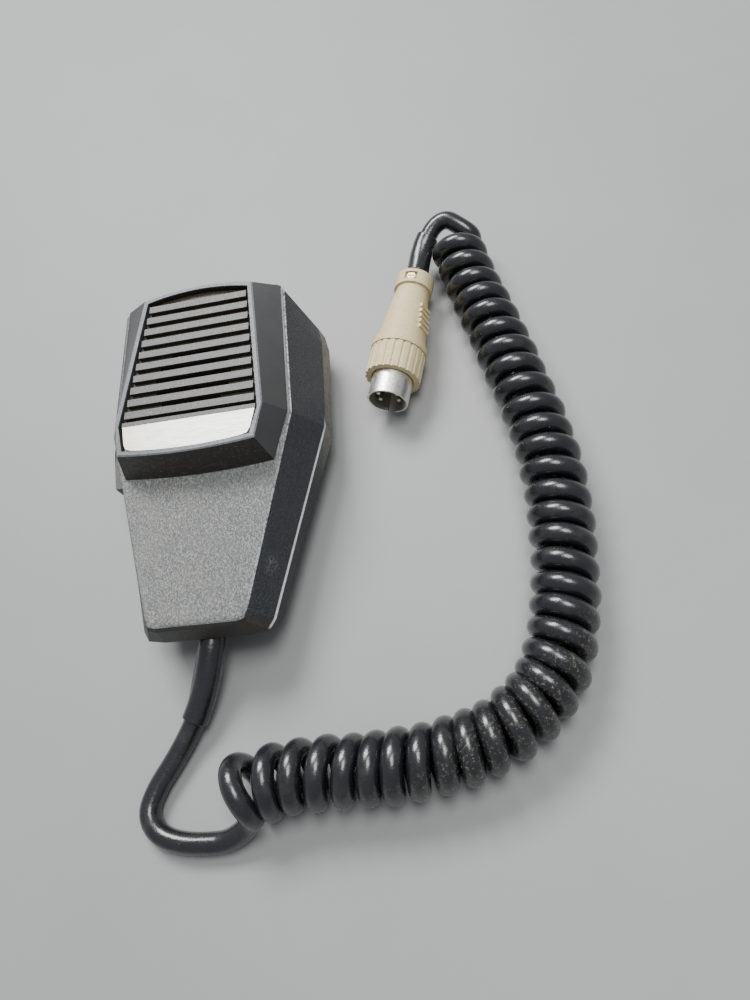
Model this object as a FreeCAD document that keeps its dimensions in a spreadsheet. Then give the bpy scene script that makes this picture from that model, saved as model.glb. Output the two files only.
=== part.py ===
"""Hand-held radio microphone with a hang-up stud, a curly cord and a five-pin locking plug.

Frame: the origin is the centre of the stud's flat face, which lies on the table. +Z points out
of the grille, +Y towards the head of the microphone and +X to the right, seen from the front.
"""
import FreeCAD, Part
import math
import os
import Sketcher

V = FreeCAD.Vector
X_AXIS, Y_AXIS, Z_AXIS = V(1, 0, 0), V(0, 1, 0), V(0, 0, 1)

doc = FreeCAD.newDocument("hand_microphone")

# ---------------------------------------------------------------------- driving dimensions, mm
SIZES = {
    # case
    "wall": (2.2, "wall thickness of both shells"),
    "seam_level": (15.2, "height of the joint between the shells"),
    "bulge_level": (10.2, "height where the rear shell is widest"),
    "back_level": (5.5, "height of the rear shell's flat back"),
    "panel_level": (29.6, "height of the front panel at the origin"),
    "panel_slope": (5.4, "slope of the front panel, degrees, rising towards the head"),
    "rim_level": (39.2, "height of the grille's rim"),
    "rim_width": (1.4, "width of the grille's rim"),
    "edge_break": (0.35, "small bevel along the case's and the rim's edges"),
    "foot_drop": (1.7, "height of the rounding at the panel's foot"),
    "recess_depth": (2.8, "depth of the grille's recess"),
    "floor_thickness": (1.6, "floor of the grille's recess"),
    # grille
    "insert_plate": (0.7, "plate that carries the louvre bars"),
    "bar_pitch": (4.23, "distance between louvre bars"),
    "bar_width": (2.35, "width of a louvre bar"),
    "bar_top": (38.7, "height of the louvre bars' tops"),
    "bar_first": (8.1, "centre of the lowest louvre bar along the case"),
    "plate_thickness": (0.6, "nameplate"),
    "plate_top": (38.6, "height of the nameplate's face"),
    # hang-up stud
    "stud_head_radius": (8.0, "stud head"),
    "stud_head_height": (1.8, "stud head"),
    "stud_neck_radius": (4.3, "stud neck"),
    "stud_bore_radius": (1.75, "hole for the stud's screw"),
    "stud_screw_radius": (1.65, "shank of the stud's screw"),
    "stud_screw_head": (3.2, "countersunk head of the stud's screw"),
    "stud_nut_flats": (3.0, "half the stud nut's width across flats"),
    # case screws
    "post_radius": (3.4, "screw posts in both shells"),
    "screw_radius": (1.45, "case screw shank"),
    "screw_clearance": (1.65, "case screw hole in the rear shell"),
    "screw_head_radius": (2.8, "case screw head"),
    "screw_head_height": (1.6, "case screw head"),
    "screw_seat_radius": (3.05, "counterbore for a case screw's head"),
    "screw_seat_level": (8.4, "height of the case screws' seats"),
    "screw_depth": (8.5, "depth of a case screw in the front shell"),
    # microphone capsule
    "capsule_place": (18.6, "centre of the capsule along the case"),
    "capsule_opening": (12.0, "radius of the opening in front of the capsule"),
    "capsule_radius": (11.2, "capsule housing"),
    "capsule_base": (22.0, "height of the capsule's back"),
    "capsule_top": (32.6, "height of the capsule's front"),
    # talk lever and switch
    "pivot_x": (-27.5, "lever pivot, across"),
    "pivot_y": (22.0, "lever pivot, along"),
    "pin_radius": (1.5, "lever pin"),
    "lever_bore": (1.56, "pin hole in the lever"),
    "lever_length": (31.0, "talk lever"),
    "lever_height": (7.2, "talk lever, front to back"),
    "lever_base": (11.0, "height of the lever's rear edge"),
    "lever_out": (-35.9, "outer face of the lever"),
    "lever_in": (-29.0, "inner face of the lever"),
    "lever_gap": (0.5, "gap round the lever"),
    "lever_swing": (3.8, "room for the lever's free end behind its inner face"),
    "lever_taper": (2.8, "how far the lever's outer face draws in at its free end"),
    "taper_length": (17.0, "tapered stretch of the lever"),
    "lever_end": (4.5, "lever beyond its pivot, towards the head"),
    "ear_radius": (3.0, "boss for the foot of the lever's pin"),
    "pin_foot": (8.6, "height of the lever pin's lower end"),
    "pin_length": (14.6, "lever pin"),
    "plunger_radius": (1.6, "switch plunger"),
    "plunger_gap": (0.1, "gap round the plunger"),
    "plunger_y": (1.0, "switch plunger along the case"),
    "board_level": (10.4, "height of the circuit board"),
    "board_thickness": (1.6, "circuit board"),
    "switch_level": (16.0, "height of the switch's axis"),
    # cord
    "cord_radius": (3.0, "cord"),
    "sleeve_radius": (3.8, "sleeve on the cord, outside"),
    "sleeve_bore": (3.05, "sleeve on the cord, inside"),
    "exit_radius": (3.85, "hole where the sleeve leaves the case"),
    "exit_level": (11.5, "height of the cord's exit"),
    "coil_radius": (9.25, "curly cord, outside"),
    # plug, lengths along its axis from the cable end
    "plug_level": (9.25, "height of the plug's axis"),
    "clamp_length": (5.2, "cable clamp collar"),
    "clamp_radius": (6.4, "cable clamp collar"),
    "shell_tip_radius": (5.5, "plug shell, cable end"),
    "shell_base_radius": (8.4, "plug shell, wide end"),
    "shell_length": (22.4, "plug shell's tapered part"),
    "flange_radius": (9.2, "plug flange"),
    "flange_length": (2.4, "plug flange"),
    "ring_radius": (8.95, "locking ring"),
    "ring_length": (9.6, "locking ring"),
    "ring_bore": (7.3, "locking ring, inside"),
    "ring_stub": (7.22, "part of the shell that the ring turns on"),
    "barrel_radius": (6.6, "metal barrel of the plug, outside"),
    "barrel_seat": (6.35, "barrel inside the shell and the ring, outside"),
    "barrel_bore": (6.0, "metal barrel of the plug, inside"),
    "barrel_start": (17.0, "start of the barrel, from the clamp collar"),
    "barrel_shoulder": (0.2, "shoulder of the barrel before the ring's front face"),
    "barrel_reach": (8.2, "barrel beyond the locking ring"),
    "pin_circle": (3.5, "radius of the circle of contact pins"),
    "contact_radius": (0.72, "contact pin"),
    "contact_depth": (17.0, "foot of a contact pin, back from the barrel's end"),
    "contact_length": (15.5, "contact pin"),
    "insulator_depth": (14.0, "back of the insulator, from the barrel's end"),
    "insulator_thickness": (4.0, "insulator disc"),
}

sheet = doc.addObject("Spreadsheet::Sheet", "Sizes")
for row, (name, (value, meaning)) in enumerate(SIZES.items(), start=1):
    sheet.set(f"A{row}", name)
    sheet.set(f"B{row}", str(value))
    sheet.set(f"C{row}", meaning)
    sheet.setAlias(f"B{row}", name)
doc.recompute()


def size(name):
    """A driving dimension, read back from the sheet."""
    return float(sheet.get(name))


def cell(text):
    """An expression in which each driving dimension is a cell of the sheet."""
    words = text.split()
    return " ".join(f"{sheet.Name}.{word}" if word in SIZES else word for word in words)


# Outlines of the case: the right half, from the cable end to the head. The left half mirrors it.
SEAM_OUTLINE = [(13.0, -54.4), (18.2, -53.6), (20.0, -50.6), (34.6, 9.0),
                (33.4, 41.0), (32.2, 47.0), (25.4, 54.4)]
PANEL_OUTLINE = [(12.0, -53.4), (13.9, -52.8), (14.9, -50.4), (28.3, 6.9),
                 (26.9, 41.0), (26.6, 49.0), (24.6, 51.6)]
BULGE_OUTLINE = [(12.6, -52.6), (18.3, -51.0), (20.7, -47.6), (35.4, 7.8),
                 (34.5, 41.0), (33.0, 47.0), (25.8, 54.6)]
BACK_OUTLINE = [(10.5, -47.8), (14.5, -46.6), (16.6, -43.6), (31.2, 7.0),
                (30.4, 39.6), (29.0, 44.4), (24.0, 50.0)]
HEAD_OUTLINE = [(23.3, -7.9), (27.4, 7.2), (25.7, 50.6)]
RIM_OUTLINE = [(20.8, -5.6), (22.8, 5.6), (18.0, 50.0)]
TOP_BOW = 1.2
RIM_BOW = 2.2
FOOT_BOW = 1.3
LEVER_FLOOR = "lever_base - lever_gap"
LEVER_CEILING = "lever_base + lever_height + lever_gap"
BOARD_TOP = "board_level + board_thickness"

BOARD_SCREWS = [(-20.0, -10.5), (-9.0, 18.5)]
POSTS = [(24.0, 41.0), (-24.0, 41.0), (12.0, -37.0), (-12.0, -37.0)]


def inset(outline, distance):
    """The outline moved inwards, across and along the case."""
    return [(x - distance, y + distance if y < 0 else y - distance) for x, y in outline]


def lowered(drop):
    """The case's outline that far below the panel, on the walls from the panel down to the seam."""
    points = []
    for (x, y), (seam_x, seam_y) in zip(PANEL_OUTLINE, SEAM_OUTLINE):
        rise = y * math.tan(math.radians(size("panel_slope")))
        share = drop / (size("panel_level") + rise - size("seam_level"))
        points.append((x + share * (seam_x - x), y + share * (seam_y - y)))
    return points


def foot_pulled(outline, amount):
    """The outline with its foot and lower corners moved towards the head."""
    return [(x, y + amount) if y < PANEL_OUTLINE[2][1] + 1 else (x, y) for x, y in outline]


# ---------------------------------------------------------------------------- sketch helpers
def new_body(label):
    """An empty PartDesign body with its own label."""
    body = doc.addObject("PartDesign::Body", label)
    body.Label = label
    return body


def attach(body, sketch, level, slope=0.0):
    """Put a sketch on the body's own XY plane, raised to a level and tilted about X."""
    plane = next(item for item in body.Origin.OriginFeatures if item.Role == "XY_Plane")
    sketch.AttachmentSupport = [(plane, "")]
    sketch.MapMode = "FlatFace"
    if slope:
        sketch.AttachmentOffset = FreeCAD.Placement(V(), FreeCAD.Rotation(X_AXIS, slope))
    sketch.setExpression("AttachmentOffset.Base.z", cell(level))


def outline_sketch(body, name, half, level, bow=0.0, slope=0.0, foot_bow=0.0):
    """A closed outline that mirrors its right half; its two end edges are bowed or straight."""
    sketch = body.newObject("Sketcher::SketchObject", name)
    attach(body, sketch, level, slope)
    stretch = 1.0 / math.cos(math.radians(slope))
    right = [V(x, y * stretch, 0) for x, y in half]
    left = [V(-p.x, p.y, 0) for p in reversed(right)]
    for side in (right, left):
        for start, end in zip(side, side[1:]):
            sketch.addGeometry(Part.LineSegment(start, end), False)
    for start, end, rise in ((right[-1], left[0], bow), (left[-1], right[0], -foot_bow)):
        middle = V(0, start.y + rise, 0)
        edge = Part.Arc(start, middle, end) if rise else Part.LineSegment(start, end)
        sketch.addGeometry(edge, False)
    return sketch


def circle_sketch(body, name, radius, level, across="0", along="0"):
    """A circle whose radius, height and centre follow the sheet."""
    sketch = body.newObject("Sketcher::SketchObject", name)
    attach(body, sketch, level)
    sketch.setExpression("AttachmentOffset.Base.x", cell(across))
    sketch.setExpression("AttachmentOffset.Base.y", cell(along))
    sketch.addGeometry(Part.Circle(V(0, 0, 0), Z_AXIS, 1.0), False)
    sketch.addConstraint(Sketcher.Constraint("Coincident", 0, 3, -1, 1))
    sketch.addConstraint(Sketcher.Constraint("Radius", 0, 1.0))
    sketch.setExpression("Constraints[1]", cell(radius))
    return sketch


def pad(body, sketch, length):
    """Raise a sketch along +Z."""
    feature = body.newObject("PartDesign::Pad", sketch.Name + "_pad")
    feature.Profile = sketch
    feature.setExpression("Length", cell(length))
    return feature


def pocket(body, sketch, length):
    """Cut a sketch upwards, along +Z, and check that material went."""
    doc.recompute()
    before = body.Shape.Volume
    feature = body.newObject("PartDesign::Pocket", sketch.Name + "_pocket")
    feature.Profile = sketch
    feature.Reversed = True
    feature.setExpression("Length", cell(length))
    doc.recompute()
    if not body.Shape.Volume < before:
        raise RuntimeError(f"{sketch.Name} cuts nothing")
    return feature


def disc(body, name, radius, level, height, across="0", along="0"):
    """Add a round boss."""
    return pad(body, circle_sketch(body, name, radius, level, across, along), height)


def hole(body, name, radius, level, depth, across="0", along="0"):
    """Cut a round hole."""
    return pocket(body, circle_sketch(body, name, radius, level, across, along), depth)


def loft(body, kind, sketches):
    """Join outlines with flat facets, as added or removed material."""
    doc.recompute()
    feature = body.newObject(f"PartDesign::{kind}Loft", sketches[0].Name + "_loft")
    feature.Profile = sketches[0]
    feature.Sections = sketches[1:]
    feature.Ruled = True
    doc.recompute()
    return feature


def block(body, kind, name, low, sides):
    """A box in a body, as added or removed material: low corner and side lengths as expressions."""
    feature = body.newObject(f"PartDesign::{kind}Box", name)
    for field, text in zip(("Length", "Width", "Height"), sides):
        feature.setExpression(field, cell(text))
    for field, text in zip("xyz", low):
        feature.setExpression(f"Placement.Base.{field}", cell(text))
    return feature


def stack(label, discs, holes=(), placement=None):
    """A turned piece: discs and holes are (radius, level, height) in sheet expressions."""
    body = new_body(label)
    for number, (radius, level, height) in enumerate(discs):
        disc(body, f"{label}_disc{number}", radius, level, height)
    for number, (radius, level, depth) in enumerate(holes):
        hole(body, f"{label}_hole{number}", radius, level, depth)
    if placement:
        body.Placement = placement
    return body


def feature_of(label, shape, placement=None):
    """A piece whose shape comes straight from Part's own functions."""
    feature = doc.addObject("Part::Feature", label)
    feature.Label = label
    feature.Shape = shape
    if placement:
        feature.Placement = placement
    return feature


# -------------------------------------------------------------------------------- front shell
def front_shell():
    """Tapered front half with the raised head, grille recess, screw posts and lever slot."""
    body = new_body("front_shell")
    slope = size("panel_slope")
    wall = size("wall")
    edge = size("edge_break")
    drop = size("foot_drop")
    loft(body, "Additive", [
        outline_sketch(body, "case_seam", SEAM_OUTLINE, "seam_level", TOP_BOW),
        outline_sketch(body, "case_brow", lowered(drop), "panel_level - foot_drop", TOP_BOW, slope),
        outline_sketch(body, "case_shoulder", foot_pulled(lowered(edge), 0.35 * drop),
                       "panel_level - edge_break", TOP_BOW, slope),
        outline_sketch(body, "case_panel", foot_pulled(inset(PANEL_OUTLINE, edge), 0.9 * drop),
                       "panel_level", TOP_BOW, slope)])
    loft(body, "Additive", [
        outline_sketch(body, "head_foot", HEAD_OUTLINE, "panel_level - 0.05", TOP_BOW, slope, FOOT_BOW),
        outline_sketch(body, "head_shoulder", RIM_OUTLINE, "rim_level - edge_break", RIM_BOW, 0.0, FOOT_BOW),
        outline_sketch(body, "head_rim", inset(RIM_OUTLINE, edge), "rim_level", RIM_BOW, 0.0, FOOT_BOW)])
    loft(body, "Subtractive", [
        outline_sketch(body, "room_seam", inset(SEAM_OUTLINE, wall), "seam_level", TOP_BOW),
        outline_sketch(body, "room_top", inset(PANEL_OUTLINE, wall), "panel_level - wall", TOP_BOW, slope)])
    loft(body, "Subtractive", [
        outline_sketch(body, "head_room_foot", inset(HEAD_OUTLINE, 1.3 * wall), "panel_level - 1.2 * wall",
                       TOP_BOW, slope),
        outline_sketch(body, "head_room_top", inset(RIM_OUTLINE, wall),
                       "rim_level - recess_depth - floor_thickness", RIM_BOW)])
    recess = outline_sketch(body, "recess", inset(RIM_OUTLINE, size("rim_width")),
                            "rim_level - recess_depth", RIM_BOW, 0.0, FOOT_BOW)
    pocket(body, recess, "recess_depth + 1")
    hole(body, "sound_hole", "capsule_opening", "rim_level - recess_depth - 3", "5", along="capsule_place")
    for number, (x, y) in enumerate(POSTS):
        rise = y * math.tan(math.radians(slope))
        height = f"panel_level - seam_level - wall + {rise:.2f} + 0.5"
        disc(body, f"post{number}", "post_radius", "seam_level", height, str(x), str(y))
        hole(body, f"post_hole{number}", "screw_radius", "seam_level", "screw_depth", str(x), str(y))
    cut_lever_slot(body, "front_lever_slot")
    ear_height = "pin_foot + pin_length - lever_base - lever_height - lever_gap"
    block(body, "Additive", "pin_ear", ("pivot_x - ear_radius", "pivot_y - ear_radius", LEVER_CEILING),
          ("2 * ear_radius", "2 * ear_radius", ear_height))
    hole(body, "pin_hole", "pin_radius", LEVER_CEILING, ear_height, "pivot_x", "pivot_y")
    return body


def cut_lever_slot(body, name):
    """The opening that the talk lever swings in, through the left wall of both shells."""
    block(body, "Subtractive", name,
          ("lever_out - 3", "pivot_y + lever_end - lever_length - 3 * lever_gap", LEVER_FLOOR),
          ("lever_in - lever_out + 3 + lever_swing", "lever_length + 4 * lever_gap",
           "lever_height + 2 * lever_gap"))


def grille_insert():
    """Plate with the louvre bars, the sill over the nameplate and the sound opening."""
    body = new_body("grille_insert")
    floor = "rim_level - recess_depth"
    plate = outline_sketch(body, "insert_plate_outline", inset(RIM_OUTLINE, size("rim_width") + 0.1),
                           floor, RIM_BOW, 0.0, FOOT_BOW)
    pad(body, plate, "insert_plate")
    hole(body, "insert_sound_hole", "capsule_opening", floor, "insert_plate + 1", along="capsule_place")
    low_x, low_y = RIM_OUTLINE[1]
    high_x, high_y = RIM_OUTLINE[2]
    side_gap = size("rim_width") + 1.0
    for number in range(10):
        along = size("bar_first") + number * size("bar_pitch")
        half = low_x + (high_x - low_x) * (along - low_y) / (high_y - low_y) - side_gap
        block(body, "Additive", f"bar{number}",
              (f"-{half:.2f}", f"bar_first + {number} * bar_pitch - bar_width / 2", floor),
              (f"{2 * half:.2f}", "bar_width", "bar_top - rim_level + recess_depth"))
    block(body, "Additive", "sill", ("-20.6", "bar_first - 3.8", floor),
          ("41.2", "1.4", "plate_top - rim_level + recess_depth"))
    land = outline_sketch(body, "plate_land", [(18.9, -3.9), (20.6, 4.35)], floor)
    pad(body, land, "plate_top - plate_thickness - rim_level + recess_depth")
    return body


def nameplate():
    """Blank plate under the louvres, with rounded lower corners."""
    body = new_body("nameplate")
    outline = [(16.5, -4.0), (18.4, -3.4), (19.3, -1.8), (20.4, 4.2)]
    sketch = outline_sketch(body, "plate_outline", outline, "plate_top - plate_thickness", foot_bow=1.0)
    pad(body, sketch, "plate_thickness")
    return body


# --------------------------------------------------------------------------------- rear shell
def back_shell():
    """Rear half with a bulged side wall, a sloping cable end and four screw posts."""
    body = new_body("back_shell")
    wall = size("wall")
    loft(body, "Additive", [
        outline_sketch(body, "back_seam", SEAM_OUTLINE, "seam_level", TOP_BOW),
        outline_sketch(body, "back_bulge", BULGE_OUTLINE, "bulge_level", TOP_BOW),
        outline_sketch(body, "back_flat", BACK_OUTLINE, "back_level", TOP_BOW)])
    loft(body, "Subtractive", [
        outline_sketch(body, "back_room_seam", inset(SEAM_OUTLINE, wall), "seam_level", TOP_BOW),
        outline_sketch(body, "back_room_floor", inset(BACK_OUTLINE, 0.6 * wall), "back_level + wall",
                       TOP_BOW)])
    for number, (x, y) in enumerate(POSTS):
        place = (str(x), str(y))
        disc(body, f"back_post{number}", "post_radius + 0.8", "back_level", "seam_level - back_level", *place)
        hole(body, f"back_hole{number}", "screw_clearance", "back_level", "seam_level", *place)
        hole(body, f"back_seat{number}", "screw_seat_radius", "back_level", "screw_seat_level - back_level",
             *place)
    hole(body, "stud_hole", "stud_bore_radius", "back_level", "wall + 1")
    cut_lever_slot(body, "back_lever_slot")
    disc(body, "pin_boss", "ear_radius", "back_level + 1", "lever_base - lever_gap - back_level - 1.1",
         "pivot_x", "pivot_y")
    hole(body, "pin_boss_hole", "pin_radius", "pin_foot", "lever_base - pin_foot", "pivot_x", "pivot_y")
    for number, (x, y) in enumerate(BOARD_SCREWS):
        place = (str(x), str(y))
        disc(body, f"standoff{number}", "2.3", "back_level + 1", "board_level - back_level - 1", *place)
        hole(body, f"standoff_hole{number}", "1.1", "board_level - 2.2", "2.2", *place)
    doc.recompute()
    gland = body.newObject("PartDesign::SubtractiveCylinder", "gland_bore")
    gland.setExpression("Radius", cell("exit_radius"))
    gland.Height = 16
    gland.Placement = FreeCAD.Placement(V(0, -42, size("exit_level")), FreeCAD.Rotation(X_AXIS, 90))
    return body


def hang_stud():
    """Round button that hooks into a dashboard clip, countersunk for its screw."""
    body = stack("hang_stud", [
        ("stud_head_radius", "0", "stud_head_height"),
        ("stud_neck_radius", "stud_head_height", "back_level - stud_head_height")],
        [("stud_bore_radius", "0", "back_level")])
    doc.recompute()
    seat = body.newObject("PartDesign::SubtractiveCone", "stud_countersink")
    seat.setExpression("Radius1", cell("stud_screw_head + 0.35"))
    seat.setExpression("Radius2", cell("stud_bore_radius"))
    seat.Height = 1.8
    return body


def stud_screw():
    """Countersunk machine screw through the stud, with a cross recess."""
    head = doc.addObject("Part::Cone", "stud_screw_cone")
    head.setExpression("Radius1", cell("stud_screw_head"))
    head.setExpression("Radius2", cell("stud_screw_radius"))
    head.Height = 1.5
    shank = doc.addObject("Part::Cylinder", "stud_screw_shank")
    shank.setExpression("Radius", cell("stud_screw_radius"))
    shank.Height = 10.6
    joined = doc.addObject("Part::Fuse", "stud_screw_blank")
    joined.Base, joined.Tool = head, shank
    slots = cross_slots("stud_screw", 4.2, 0.8, 1.0)
    return cut_away("stud_screw", joined, slots, FreeCAD.Placement(V(0, 0, 0.25), FreeCAD.Rotation()))


def cross_slots(name, span, width, depth):
    """Two crossed boxes that cut a cross recess from below."""
    boxes = []
    for number, (length, breadth) in enumerate(((span, width), (width, span))):
        slot = doc.addObject("Part::Box", f"{name}_slot{number}")
        slot.Length, slot.Width, slot.Height = length, breadth, depth
        slot.Placement.Base = V(-length / 2, -breadth / 2, 0)
        boxes.append(slot)
    crossed = doc.addObject("Part::Fuse", f"{name}_cross")
    crossed.Base, crossed.Tool = boxes
    return crossed


def cut_away(label, base, tool, placement=None):
    """A Part::Cut with its own label."""
    result = doc.addObject("Part::Cut", label)
    result.Label = label
    result.Base, result.Tool = base, tool
    if placement:
        result.Placement = placement
    return result


def hexagon(radius_to_flat, height, bore):
    """A hexagonal nut as a shape."""
    corner = radius_to_flat / math.cos(math.pi / 6)
    points = [V(corner * math.cos(k * math.pi / 3), corner * math.sin(k * math.pi / 3), 0) for k in range(7)]
    solid = Part.Face(Part.makePolygon(points)).extrude(V(0, 0, height))
    return solid.cut(Part.makeCylinder(bore, height))


def case_screws():
    """Four self-tapping screws that close the case."""
    length = size("seam_level") + size("screw_depth") - size("screw_seat_level") - 0.5
    head_height = size("screw_head_height")
    head = Part.makeCylinder(size("screw_head_radius"), head_height)
    head = head.makeFillet(0.5, [e for e in head.Edges if e.BoundBox.ZMax < 0.01])
    for width, breadth in ((3.4, 0.7), (0.7, 3.4)):
        head = head.cut(Part.makeBox(width, breadth, 0.8, V(-width / 2, -breadth / 2, 0)))
    screw = head.fuse(Part.makeCylinder(size("screw_radius"), length, V(0, 0, head_height))).removeSplitter()
    seat = size("screw_seat_level") - head_height
    copies = []
    for x, y in POSTS:
        copy = screw.copy()
        copy.translate(V(x, y, seat))
        copies.append(copy)
    return feature_of("case_screws", Part.makeCompound(copies))


# --------------------------------------------------------------------------- lever and switch
def ptt_lever():
    """Talk lever in the left side: a bar with a rounded outer face and an eye for the pin."""
    body = new_body("ptt_lever")
    block(body, "Additive", "lever_bar", ("lever_out", "pivot_y + lever_end - lever_length", "lever_base"),
          ("lever_in - lever_out", "lever_length", "lever_height"))
    doc.recompute()
    bar = body.Tip
    outer_edges = [f"Edge{n}" for n, e in enumerate(bar.Shape.Edges, start=1)
                   if e.BoundBox.XMax < size("lever_out") + 0.01]
    fillet = body.newObject("PartDesign::Fillet", "lever_rounding")
    fillet.Base = (bar, outer_edges)
    fillet.Radius = 1.6
    doc.recompute()
    wedge = body.newObject("PartDesign::SubtractiveWedge", "lever_taper")
    for side in ("Xmin", "X2min", "Zmin", "Z2min"):
        setattr(wedge, side, -1.0)
    wedge.setExpression("Xmax", cell("lever_taper"))
    wedge.X2max = 0.0
    wedge.Ymin = 0.0
    wedge.setExpression("Ymax", cell("taper_length"))
    for side in ("Zmax", "Z2max"):
        wedge.setExpression(side, cell("lever_height + 1"))
    wedge.Placement.Base = V(size("lever_out"), size("pivot_y") + size("lever_end") - size("lever_length"),
                             size("lever_base"))
    block(body, "Additive", "lever_lug", ("lever_in - 0.2", "pivot_y - ear_radius", "lever_base"),
          ("pivot_x + ear_radius - lever_in + 0.2", "2 * ear_radius", "lever_height"))
    hole(body, "lever_eye", "lever_bore", "lever_base", "lever_height", "pivot_x", "pivot_y")
    return body


def ptt_pin():
    """Steel pin that the lever swings on."""
    body = new_body("ptt_pin")
    disc(body, "ptt_pin_shank", "pin_radius", "pin_foot", "pin_length", "pivot_x", "pivot_y")
    return body


def ptt_spring():
    """Compression spring between the lever and its post."""
    turns, wire_radius, radius = 5, 0.3, 2.2
    length = 5.1
    path = Part.makeHelix(length / turns, length, radius)
    profile = Part.Wire(Part.makeCircle(wire_radius, V(radius, 0, 0), Y_AXIS))
    spring = Part.Wire(path).makePipeShell([profile], True, True)
    placement = FreeCAD.Placement(V(size("lever_in") + 0.7, 14.0, size("switch_level")),
                                  FreeCAD.Rotation(Y_AXIS, 90))
    return feature_of("ptt_spring", spring, placement)


def spring_post():
    """Upright on the board that the spring bears on."""
    body = new_body("spring_post")
    block(body, "Additive", "spring_wall", ("lever_in + 6.6", "10.5", BOARD_TOP), ("1.6", "7", "7.6"))
    return body


def switch_body():
    """Enclosed slide switch with a bore for its plunger."""
    body = new_body("switch_body")
    block(body, "Additive", "switch_block", ("-20", "plunger_y - 6", "switch_level - 4"), ("13", "12", "8"))
    doc.recompute()
    bore = body.newObject("PartDesign::SubtractiveCylinder", "switch_bore")
    bore.setExpression("Radius", cell("plunger_radius + plunger_gap"))
    bore.Height = 11.0
    bore.Placement = FreeCAD.Placement(V(-20.5, size("plunger_y"), size("switch_level")),
                                       FreeCAD.Rotation(Y_AXIS, 90))
    return body


def switch_plunger():
    """Plunger that the lever pushes into the switch."""
    turned = FreeCAD.Placement(V(size("lever_in") + 0.3, size("plunger_y"), size("switch_level")),
                               FreeCAD.Rotation(Y_AXIS, 90))
    return stack("switch_plunger", [("plunger_radius", "0", "14.7"), ("plunger_radius + 0.9", "0", "1.2")],
                 placement=turned)


def switch_contacts():
    """Six solder lugs along the switch."""
    lugs = []
    for row in range(2):
        for column in range(3):
            low = V(-7.0, size("plunger_y") - 4.8 + 3.9 * column, size("switch_level") - 2.6 + 4.2 * row)
            lugs.append(Part.makeBox(3.6, 1.6, 0.5, low))
    return feature_of("switch_contacts", Part.makeCompound(lugs))


def circuit_board():
    """Small board that carries the switch and the spring's post."""
    body = new_body("circuit_board")
    block(body, "Additive", "board", ("-23", "-13", "board_level"), ("18", "34", "board_thickness"))
    for number, (x, y) in enumerate(BOARD_SCREWS):
        hole(body, f"board_hole{number}", "1.25", "board_level", "board_thickness", str(x), str(y))
    return body


def board_screws():
    """Two pan-head screws that hold the board on its standoffs."""
    top = size("board_level") + size("board_thickness")
    screws = []
    for x, y in BOARD_SCREWS:
        head = Part.makeCylinder(2.1, 1.2, V(x, y, top))
        screws.append(head.fuse(Part.makeCylinder(1.1, 3.6, V(x, y, top - 3.6))).removeSplitter())
    return feature_of("board_screws", Part.makeCompound(screws))


def board_parts():
    """Two resistors and a capacitor can on the board."""
    top = size("board_level") + size("board_thickness")
    pieces = [Part.makeCylinder(2.6, 4.0, V(-10.5, 12.0, top))]
    for start in (V(-16, -9.5, top + 1.2), V(-20.5, 18.8, top + 1.2)):
        pieces.append(Part.makeCylinder(1.1, 6.4, start, X_AXIS))
    return feature_of("board_parts", Part.makeCompound(pieces))


# ------------------------------------------------------------------------------------ capsule
def capsule_pieces():
    """Dynamic capsule: cup, magnet, coil, diaphragm, perforated front, gasket and dust screen."""
    at = FreeCAD.Placement(V(0, size("capsule_place"), 0), FreeCAD.Rotation())
    cup = stack("capsule_housing",
                [("capsule_radius", "capsule_base", "capsule_top - capsule_base - 0.8")],
                [("capsule_radius - 1", "capsule_base + 1.2", "capsule_top - capsule_base")], at)
    magnet = stack("capsule_magnet",
                   [("6.4", "capsule_base + 1.2", "4.6"), ("3.4", "capsule_base + 5.8", "1.2")],
                   placement=at)
    coil = stack("voice_coil", [("4.6", "capsule_base + 6.2", "2")], [("3.9", "capsule_base + 6.2", "2")], at)
    cone = stack("diaphragm", [("capsule_radius - 1.2", "capsule_base + 8.3", "0.3")], placement=at)
    front = new_body("capsule_front")
    disc(front, "front_disc", "capsule_radius", "capsule_top - 0.8", "0.8")
    hole(front, "front_centre", "1.1", "capsule_top - 0.8", "0.8")
    first = hole(front, "front_perforation", "1.1", "capsule_top - 0.8", "0.8", "6")
    holes = front.newObject("PartDesign::PolarPattern", "front_pattern")
    holes.Originals = [first]
    holes.Axis = (next(a for a in front.Origin.OriginFeatures if a.Role == "Z_Axis"), [""])
    holes.Angle = 360
    holes.Occurrences = 8
    front.Tip = holes
    front.Placement = at
    gasket = stack("capsule_gasket", [("capsule_radius", "capsule_top", "1.4")],
                   [("capsule_radius - 2", "capsule_top", "1.4")], at)
    screen = stack("dust_screen", [("capsule_opening", "capsule_top + 1.5", "0.3")], placement=at)
    return [cup, magnet, coil, cone, front, gasket, screen]


# --------------------------------------------------------------------------------------- cord
# Centre line of the cord from inside the case to the start of the coil.
MIC_LEAD = [(0.0, -39.0, 11.5), (0.0, -46.8, 11.45), (-0.7, -55.4, 10.9), (-2.6, -64.0, 8.3),
            (-5.6, -71.6, 5.6), (-9.2, -78.5, 4.0), (-13.5, -85.5, 3.2), (-17.9, -91.9, 3.05),
            (-20.3, -98.6, 3.05), (-16.7, -104.0, 3.05), (-10.1, -106.3, 3.05), (-2.8, -106.5, 3.05),
            (5.4, -105.5, 3.5), (10.4, -102.0, 6.0)]
# Axis of the coil, on the table.
COIL_AXIS = [(7.4, -95.5), (15.4, -92.8), (27.7, -91.0), (46.9, -91.0), (66.4, -88.7), (82.4, -82.4),
             (93.4, -71.4), (98.4, -54.7), (100.4, -36.0), (100.8, -16.6), (98.4, 2.5), (93.6, 21.2),
             (89.2, 39.3), (84.6, 55.7), (81.8, 69.7), (81.0, 78.6)]
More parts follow.
